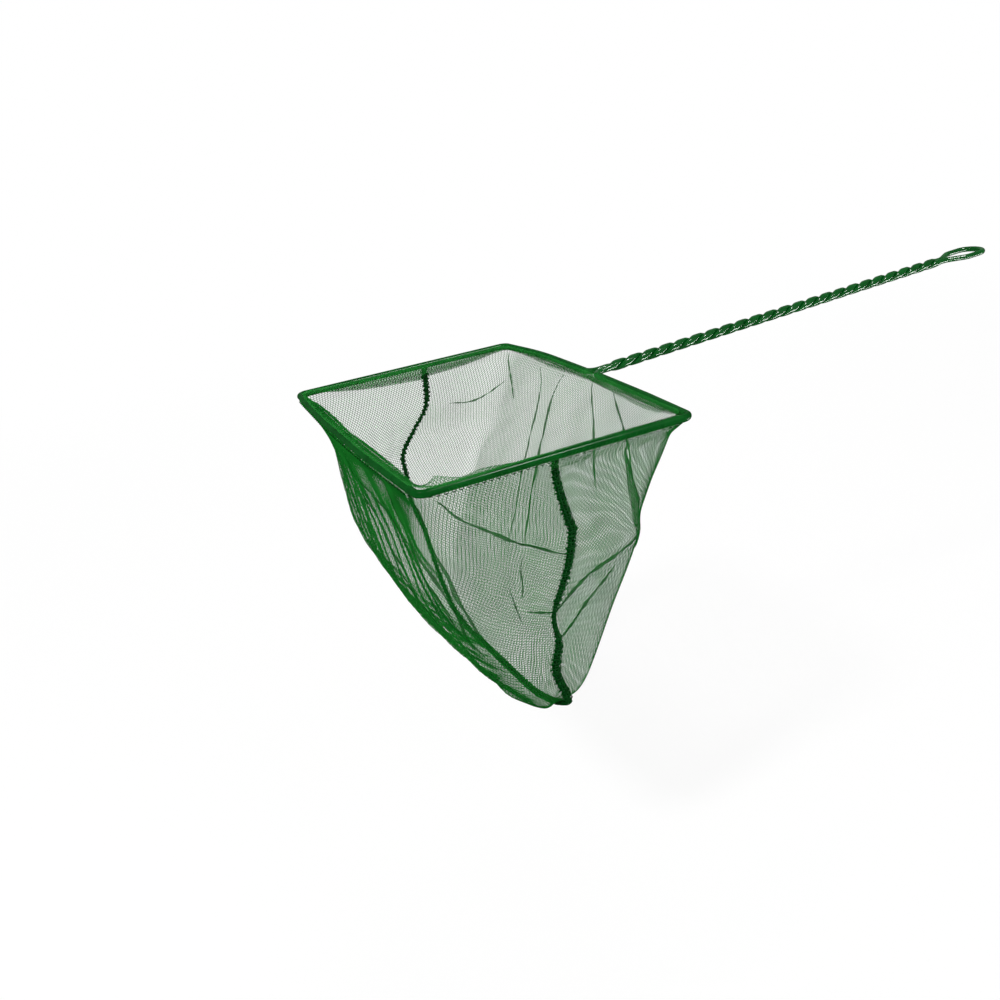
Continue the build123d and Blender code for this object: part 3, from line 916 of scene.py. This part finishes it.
# Folds: where slack net is caught in a seam or hangs from a corner it lies in narrow pleats, seen as dark
# lines. Each follows a line on the flat cut, given as places across and down, and thins out at both ends.
# One broad pleat lies double beside the right seam.
PLEAT_RADIUS = 0.5
PLEAT_ALPHA = 0.62
PLEAT_STEPS = 40
PLEAT_SIDES = 6
PLEAT_TIP = 0.02
PLEAT_WAVES = ((0.3, 19), (0.2, 43))
PLEATS = (
    ("rear_net", "seam_side", 0.9, ((91, 3), (80, 20), (73, 41), (73, 48))),
    ("rear_net", "seam_slanting", 1.3, ((73, 46), (82, 53), (90, 59), (94, 75))),
    ("rear_net", "seam_second", 0.9, ((79, 58), (82, 71), (83, 82), (84, 89))),
    ("rear_net", "rear_long", 0.7, ((-46, 5), (-40, 11), (-33, 27), (-25, 43), (-20, 62), (-20, 78))),
    ("rear_net", "rear_short", 1.0, ((-26, 5), (-27, 18), (-19, 34), (-12, 47), (-10, 61), (-7, 78))),
    ("rear_net", "far_corner", 0.9, ((13, 4), (24, 10), (32, 15), (41, 21), (52, 31))),
    ("rear_net", "under_handle", 0.8, ((-4, 4), (15, 23), (36, 44))),
    ("rear_net", "rear_corner", 0.8, ((-76, 3), (-67, 12), (-55, 22))),
    ("rear_net", "left_curved", 0.7, ((-94, 23), (-80, 24), (-69, 15))),
    (
        "front_net", "front_corner", 1.1,
        ((82, 3), (84, 13), (88, 21), (91, 29), (93, 34), (100, 43), (105, 49)),
    ),
    ("front_net", "pinch", 0.8, ((82, 64), (86, 69), (91, 75))),
    ("front_net", "front_first", 0.8, ((-12, 3), (-10, 18), (-2, 24), (8, 34), (22, 52), (36, 78))),
    ("front_net", "front_second", 1.0, ((-1, 2), (5, 16), (19, 21), (41, 26), (52, 38), (55, 52), (58, 72))),
    ("front_net", "front_third", 0.8, ((21, 14), (32, 22), (43, 30), (52, 40), (57, 58))),
    ("front_net", "front_fourth", 1.0, ((40, 6), (45, 18), (53, 26), (57, 39), (58, 52), (60, 80))),
    ("front_net", "front_fifth", 0.7, ((-40, 10), (-30, 45), (-12, 85))),
    ("front_net", "front_sixth", 0.7, ((10, 30), (20, 60), (34, 95))),
    (
        "front_net", "front_crease", 1.3,
        ((74, 3), (72, 12), (67, 25), (64, 36), (62, 50), (64, 68), (66, 91)),
    ),
    ("front_net", "lower_first", 0.45, ((79, 49), (79, 58), (79, 70))),
    ("front_net", "lower_second", 0.6, ((89, 39), (85, 47), (82, 58))),
    ("front_net", "bottom_first", 0.7, ((-21, 96), (-18, 119))),
    ("front_net", "bottom_second", 0.7, ((-8, 93), (-6, 121))),
    ("front_net", "bottom_third", 0.7, ((15, 92), (16, 121))),
    ("front_net", "bottom_fourth", 0.7, ((38, 90), (39, 118))),
)
BROAD_NEAR_EDGE = ((91.5, 2), (83, 19), (78, 38), (75, 52))
BROAD_FAR_EDGE = ((91, 2), (80, 20), (73, 41), (72, 52))
BROAD_COLUMNS = 8
pleated = mottled(
    "pleated_net", YARN_DARK, YARN_LIGHT,
    patch=3.0, roughness=(0.5, 0.7), grain=0.4, relief=0.4, shine=0.0, alpha=PLEAT_ALPHA,
)
pleat_tree = tube_tree("pleat", PLEAT_SIDES)
share = np.linspace(0, 1, PLEAT_STEPS)
taper = np.sqrt(np.sin(math.pi * np.clip(share, PLEAT_TIP, 1 - PLEAT_TIP)))
(long_wave, long_rate), (short_wave, short_rate) = PLEAT_WAVES
for panel, name, size, spots in PLEATS:
    line = even_path(smooth_path(spots), PLEAT_STEPS)
    wander = 1 + long_wave * np.sin(long_rate * share + len(name)) + short_wave * np.sin(short_rate * share)
    mesh = path_mesh(name, on_cloth(panel, line), girth=size * taper * wander)
    piece = grown(f"{name}_pleat", mesh, pleat_tree, {"Radius": PLEAT_RADIUS * MM}, pleated)
    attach(piece, "root")
    sheet_pieces[panel].append(piece)

near_edge = even_path(smooth_path(BROAD_NEAR_EDGE), PLEAT_STEPS)
far_edge = even_path(smooth_path(BROAD_FAR_EDGE), PLEAT_STEPS)
share = np.linspace(0, 1, BROAD_COLUMNS)[None, :, None]
spots = near_edge[:, None] * (1 - share) + far_edge[:, None] * share
places = on_cloth("rear_net", spots.reshape(-1, 2), TURN_LIFT).reshape(PLEAT_STEPS, BROAD_COLUMNS, 3)
broad_piece = placed("broad_pleat", panel_mesh("broad_pleat", places, spots + TURN_SHIFT))
broad_piece.data.materials.append(pleated)
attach(broad_piece, "root")
sheet_pieces["rear_net"] += [broad_piece] + knitted("broad_pleat", broad_piece.data)


# Seam: the panels' edges overlocked together in one line down one side, along the bottom and up the other.
# Dark thread is wound tightly over the bundled edges.
SEAM_WIDTH = 2.4
SEAM_THICK = 1.1
SEAM_PITCH = 1.3
SEAM_THREAD_RADIUS = 0.27
SEAM_FUZZ = 0.9
SEAM_FUZZ_SIZE = 1.1
SEAM_FUZZ_DETAIL = 2.0
SEAM_THREADS = ((1.0, 1.0), (1.6, 1.3))
SEAM_EDGES = (-0.4, 0.35)
SEAM_DARK = (0.0008, 0.02, 0.003, 1.0)
SEAM_LIGHT = (0.004, 0.085, 0.011, 1.0)
STEPS_PER_WINDING = 8
STEPS_PER_POINT = 12
THREAD_SIDES = 5
EDGE_SIDES = 8
NOISE_MIDDLE = (0.5, 0.5, 0.5)
ACROSS_NET = np.array([0.0, 1.0, 0.0])
LEFT_GIRTH = ((0, 1.15), (0.12, 1.0), (0.2, 0.7), (0.26, 0.6), (0.4, 0.75), (1, 0.8))
BOTTOM_GIRTH = ((0, 0.8), (0.5, 0.95), (1, 1.1))
RIGHT_GIRTH = (
    (0, 1.0), (0.3, 1.25), (0.5, 1.05), (0.6, 0.65), (0.66, 0.65), (0.78, 1.3), (0.88, 1.15), (1, 1.1),
)
SEAMS = (
    ("left_seam", LEFT_SEAM, LEFT_GIRTH),
    ("bottom_seam", BOTTOM_SEAM, BOTTOM_GIRTH),
    ("right_seam", RIGHT_SEAM, RIGHT_GIRTH),
)
seam_thread = mottled(
    "dark_overlock_thread", SEAM_DARK, SEAM_LIGHT,
    patch=0.9, roughness=(0.5, 0.7), grain=0.2, relief=0.3, shine=0.03,
)

seam_tree, given = new_tree("overlocked_seam", ("Width", "Thick", "Pitch", "Radius", "Fuzz"))
seam_line = node(seam_tree, "GeometryNodeMeshToCurve", {"Mesh": given["Geometry"]})
fine_step = math_node(seam_tree, "DIVIDE", given["Pitch"], STEPS_PER_WINDING)
fine_line = node(
    seam_tree,
    "GeometryNodeResampleCurve",
    {"Curve": seam_line.outputs[0], "Length": fine_step},
    mode="LENGTH",
)
across = kept_at_points(seam_tree, "across", "FLOAT_VECTOR")
girth = kept_at_points(seam_tree, "girth", "FLOAT")
onward = node(seam_tree, "GeometryNodeInputTangent").outputs[0]
upward = vector_node(seam_tree, "CROSS_PRODUCT", onward, across)
length = node(seam_tree, "GeometryNodeSplineParameter").outputs["Length"]
half_thick = math_node(seam_tree, "MULTIPLY", given["Thick"], 0.5)
half_wide = math_node(seam_tree, "MULTIPLY", math_node(seam_tree, "MULTIPLY", given["Width"], 0.5), girth)
half_high = math_node(seam_tree, "MULTIPLY", half_thick, girth)
thread_section = node(
    seam_tree, "GeometryNodeCurvePrimitiveCircle", {"Resolution": THREAD_SIDES, "Radius": given["Radius"]}
)
fuzz = node(
    seam_tree,
    "ShaderNodeTexNoise",
    {
        "Vector": node(seam_tree, "GeometryNodeInputPosition").outputs[0],
        "Scale": 1 / (SEAM_FUZZ_SIZE * MM),
        "Detail": SEAM_FUZZ_DETAIL,
    },
)
shaken = vector_node(seam_tree, "SUBTRACT", fuzz.outputs["Color"], NOISE_MIDDLE)
stray = scaled(seam_tree, shaken, given["Fuzz"])
bundle = []
for stride, spread in SEAM_THREADS:
    turns = math_node(seam_tree, "DIVIDE", length, math_node(seam_tree, "MULTIPLY", given["Pitch"], stride))
    winding = math_node(seam_tree, "MULTIPLY", turns, 2 * math.pi)
    reach = math_node(seam_tree, "MULTIPLY", half_wide, spread)
    height = math_node(seam_tree, "MULTIPLY", half_high, spread)
    swing = math_node(seam_tree, "MULTIPLY", math_node(seam_tree, "COSINE", winding), reach)
    hop = math_node(seam_tree, "MULTIPLY", math_node(seam_tree, "SINE", winding), height)
    offset = vector_node(seam_tree, "ADD", scaled(seam_tree, across, swing), scaled(seam_tree, upward, hop))
    wound = node(
        seam_tree,
        "GeometryNodeSetPosition",
        {"Geometry": fine_line.outputs[0], "Offset": vector_node(seam_tree, "ADD", offset, stray)},
    )
    thread = node(
        seam_tree,
        "GeometryNodeCurveToMesh",
        {"Curve": wound.outputs[0], "Profile Curve": thread_section.outputs[0], "Fill Caps": True},
    )
    bundle.append(thread.outputs[0])
edge_section = node(
    seam_tree, "GeometryNodeCurvePrimitiveCircle", {"Resolution": EDGE_SIDES, "Radius": half_thick}
)
for place in SEAM_EDGES:
    offset = scaled(seam_tree, across, math_node(seam_tree, "MULTIPLY", half_wide, place))
    loose = vector_node(seam_tree, "ADD", offset, stray)
    shifted = node(
        seam_tree, "GeometryNodeSetPosition", {"Geometry": seam_line.outputs[0], "Offset": loose}
    )
    edge = node(
        seam_tree,
        "GeometryNodeCurveToMesh",
        {
            "Curve": shifted.outputs[0],
            "Profile Curve": edge_section.outputs[0],
            "Scale": girth,
            "Fill Caps": True,
        },
    )
    bundle.append(edge.outputs[0])
bundled = node(seam_tree, "GeometryNodeJoinGeometry")
for part in bundle:
    seam_tree.links.new(part, bundled.inputs[0])
close_tree(seam_tree, bundled.outputs[0], given["Finish"])

seam_sizes = {
    "Width": SEAM_WIDTH * MM,
    "Thick": SEAM_THICK * MM,
    "Pitch": SEAM_PITCH * MM,
    "Radius": SEAM_THREAD_RADIUS * MM,
    "Fuzz": SEAM_FUZZ * MM,
}
for seam, route, girth_pairs in SEAMS:
    path = even_path(smooth_path(route), STEPS_PER_POINT * len(route))
    ahead = np.gradient(path, axis=0)
    ahead /= np.linalg.norm(ahead, axis=1)[:, None]
    ways = ACROSS_NET - ahead * ahead[:, 1:2]
    ways /= np.linalg.norm(ways, axis=1)[:, None]
    girths = between(girth_pairs, np.linspace(0, 1, len(path)))
    mesh = path_mesh(seam, path, across=ways, girth=girths)
    piece = grown(f"{seam}_overlock", mesh, seam_tree, seam_sizes, seam_thread)
    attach(piece, "root")
    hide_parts(seam)


# Sheets: each panel is one length of knitted net, cut flat, gathered on the wire and left to hang. Its mesh
# goes to the root body in place of the CAD panel and hem nodes, which are hidden.
STANDS_FOR = {
    "front_net": ("front_panel", "front_hem", "left_front_hem", "right_front_hem"),
    "rear_net": ("rear_panel", "rear_left_hem", "rear_right_hem", "left_rear_hem", "right_rear_hem"),
}
for panel, (rows, cut) in cloth.items():
    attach(panels[panel], "root")
    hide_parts(*STANDS_FOR[panel])


# Studio: a white floor below the net that fades into a white surround, and soft lamps above, in front
# and behind. The camera sees the floor as white paper with a faint shadow. Two more lamps only put
# streaks of light on the glossy rails and handle.
FLOOR_DROP = 90.0
FLOOR_SIZE = 3.0
FLOOR_ROUGHNESS = 0.9
FLOOR_COLOUR = (0.8, 0.8, 0.8, 1.0)
FLOOR_SEEN_COLOUR = (0.2, 0.2, 0.2, 1.0)
FLOOR_FAR_COLOUR = (0.0, 0.0, 0.0, 1.0)
WHITE = (1.0, 1.0, 1.0, 1.0)
FLOOR_SEEN_GLOW = 0.82
FLOOR_FADE = (0.35, 1.2)
MIX_FIRST = 6
MIX_SECOND = 7
MIX_RESULT = 2
SOFT_LAMPS = (
    ("key_lamp", (420, -900, 1150), 0.22, 9.0),
    ("fill_lamp", (1100, 500, 500), 1.2, 4.0),
    ("back_lamp", (-900, 500, 800), 1.2, 5.0),
)
SOFT_LAMP_AIM = (0, 40, -40)
STREAK_LAMPS = (
    ("rail_streak_lamp", (490, 350, 800), (75, 0, 0), (0.25, 0.25), 36.0),
    ("handle_streak_lamp", (152, 390, -113), (0, 382, 17), (0.42, 0.06), 8.0),
)
WORLD_LIGHT = 0.45
floor_mesh = bpy.data.meshes.new("floor")
floor_z = cad_box[0][2] - FLOOR_DROP * MM
corners = [(x * FLOOR_SIZE, y * FLOOR_SIZE, floor_z) for x, y in ((-1, -1), (1, -1), (1, 1), (-1, 1))]
floor_mesh.from_pydata(corners, [], [(0, 1, 2, 3)])
floor = placed("floor", floor_mesh)


def straight_rays(tree):
    """1 where the camera looks straight at a thing or sees it mirrored or through glass, else 0."""
    seen = node(tree, "ShaderNodeLightPath").outputs
    straight = math_node(tree, "MAXIMUM", seen["Is Camera Ray"], seen["Is Glossy Ray"])
    return math_node(tree, "MAXIMUM", straight, seen["Is Transmission Ray"])


paper = bpy.data.materials.new("white_paper")
paper.use_nodes = True
paper_tree = paper.node_tree
paper_surface = paper_tree.nodes["Principled BSDF"]
paper_surface.inputs["Roughness"].default_value = FLOOR_ROUGHNESS
paper_surface.inputs["Specular IOR Level"].default_value = 0.0
paper_surface.inputs["Emission Color"].default_value = WHITE
looked_at = straight_rays(paper_tree)
spot = node(paper_tree, "ShaderNodeTexCoord").outputs["Object"]
level = vector_node(paper_tree, "MULTIPLY", spot, (1, 1, 0))
away = node(paper_tree, "ShaderNodeVectorMath", {0: level}, operation="LENGTH").outputs["Value"]
fade = node(
    paper_tree,
    "ShaderNodeMapRange",
    {"Value": away, "From Min": FLOOR_FADE[0], "From Max": FLOOR_FADE[1], "To Min": 1.0, "To Max": 0.0},
    interpolation_type="SMOOTHSTEP",
).outputs["Result"]
near_colour = node(
    paper_tree,
    "ShaderNodeMix",
    {"Factor": fade, MIX_FIRST: FLOOR_FAR_COLOUR, MIX_SECOND: FLOOR_SEEN_COLOUR},
    data_type="RGBA",
)
colour = node(
    paper_tree,
    "ShaderNodeMix",
    {"Factor": looked_at, MIX_FIRST: FLOOR_COLOUR, MIX_SECOND: near_colour.outputs[MIX_RESULT]},
    data_type="RGBA",
)
paper_tree.links.new(colour.outputs[MIX_RESULT], paper_surface.inputs["Base Color"])
near_glow = node(
    paper_tree, "ShaderNodeMapRange", {"Value": fade, "To Min": 1.0, "To Max": FLOOR_SEEN_GLOW}
)
glow = math_node(paper_tree, "MULTIPLY", near_glow.outputs["Result"], looked_at)
paper_tree.links.new(glow, paper_surface.inputs["Emission Strength"])
floor_mesh.materials.append(paper)
floor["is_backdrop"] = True


def aimed_lamp(name, place, target, power):
    """An area lamp at a place in the hoop's millimetres, turned towards its target."""
    lamp = placed(name, bpy.data.lights.new(name, "AREA"))
    lamp.data.energy = power
    lamp_place = Vector(in_frame(place))
    aim = Vector(in_frame(target)) - lamp_place
    lamp.matrix_world = Matrix.Translation(lamp_place) @ aim.to_track_quat("-Z", "Y").to_matrix().to_4x4()
    return lamp


for name, place, size, power in SOFT_LAMPS:
    aimed_lamp(name, place, SOFT_LAMP_AIM, power).data.size = size

for name, place, target, size, power in STREAK_LAMPS:
    lamp = aimed_lamp(name, place, target, power)
    lamp.data.shape = "RECTANGLE"
    lamp.data.size, lamp.data.size_y = size
    lamp.visible_diffuse = False
    lamp.visible_camera = False

world = bpy.data.worlds.new("studio")
bpy.context.scene.world = world
world.use_nodes = True
sky = world.node_tree
brightness = node(
    sky, "ShaderNodeMapRange", {"Value": straight_rays(sky), "To Min": WORLD_LIGHT, "To Max": 1.0}
)
background = sky.nodes["Background"]
background.inputs["Color"].default_value = WHITE
sky.links.new(brightness.outputs["Result"], background.inputs["Strength"])
bpy.context.scene.view_settings.view_transform = "Standard"

visual_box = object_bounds()
sizes = {
    "cad": [list(map(float, corner)) for corner in cad_box],
    "visual": [list(map(float, corner)) for corner in visual_box],
}
